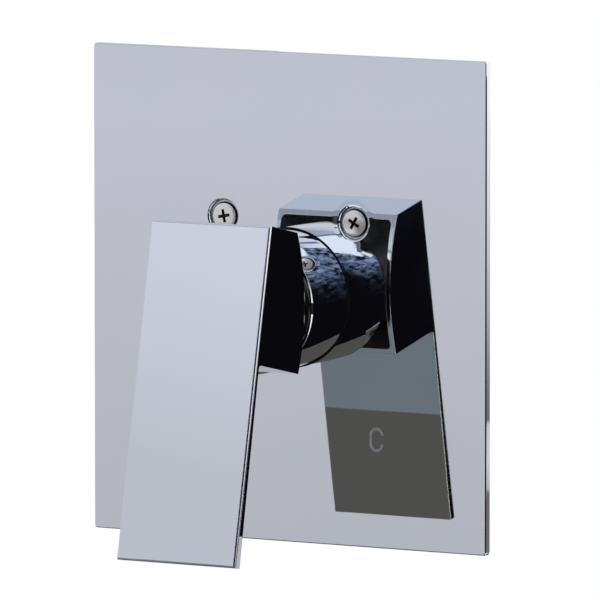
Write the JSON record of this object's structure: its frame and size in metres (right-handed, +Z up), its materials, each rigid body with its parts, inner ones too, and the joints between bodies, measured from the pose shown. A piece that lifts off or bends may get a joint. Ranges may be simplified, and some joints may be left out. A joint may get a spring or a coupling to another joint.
{
  "type": "shower valve",
  "caption": "Concealed single-lever shower mixer: square face plate, round sleeve, flat lever blade and valve body with ceramic cartridge.",
  "frame": {"origin": "point where the valve axis meets the finished wall, behind the middle of the face plate", "axes": "+X to the right and +Z up as seen by the user, -Y out of the wall towards the user"},
  "size_m": [0.174, 0.1356, 0.19],
  "materials": {
    "polished_chrome": "mirror polished",
    "foam": "closed-cell foam, matt",
    "screw_steel": "satin nickel-plated steel",
    "black_rubber": "matt rubber",
    "cast_brass": "sand-cast brass, slightly rough",
    "turned_brass": "turned brass",
    "fibre": "red fibre washer",
    "grey_plastic": "moulded plastic",
    "white_plastic": "moulded plastic",
    "dark_plastic": "moulded plastic",
    "ceramic": null,
    "stem_zinc": "die-cast zinc, bare"
  },
  "bodies": {
    "root": {"face_plate": "polished_chrome", "plate_gasket": "foam", "plate_screws": "screw_steel", "sleeve": "polished_chrome", "sleeve_seal": "black_rubber", "valve_body": "cast_brass", "tub_port_plug": "turned_brass", "plug_washer": "fibre", "cartridge_nut": "turned_brass", "cartridge_housing": "dark_plastic", "cartridge_base": "grey_plastic", "port_seals": "black_rubber", "fixed_disc": "ceramic"},
    "rotor": {"spindle_rotor": "white_plastic", "lever_pin": "screw_steel", "temperature_stop_ring": "dark_plastic"},
    "lever": {"lever_stem": "stem_zinc", "lever_handle": "polished_chrome", "handle_set_screw": "screw_steel", "handle_screw_plug": "grey_plastic"},
    "mixing_disc": {"moving_disc": "ceramic", "disc_carrier": "white_plastic"}
  },
  "joints": [
    {"name": "temperature_turn", "type": "hinge", "parent": "root", "child": "rotor", "pos_m": [0, -0.022, 0], "axis": [0, -1, 0], "range_deg": [-45, 45]},
    {"name": "flow_lift", "type": "hinge", "parent": "rotor", "child": "lever", "pos_m": [0, -0.022, 0], "axis": [-1, 0, 0], "range_deg": [0, 24]},
    {"name": "disc_slide", "type": "slide", "parent": "rotor", "child": "mixing_disc", "axis": [0, 0, -1], "range_m": [0, 0.00313]}
  ],
  "couplings": [
    {"joint": "disc_slide", "follows": "flow_lift", "m_per_rad": 0.007445}
  ]
}
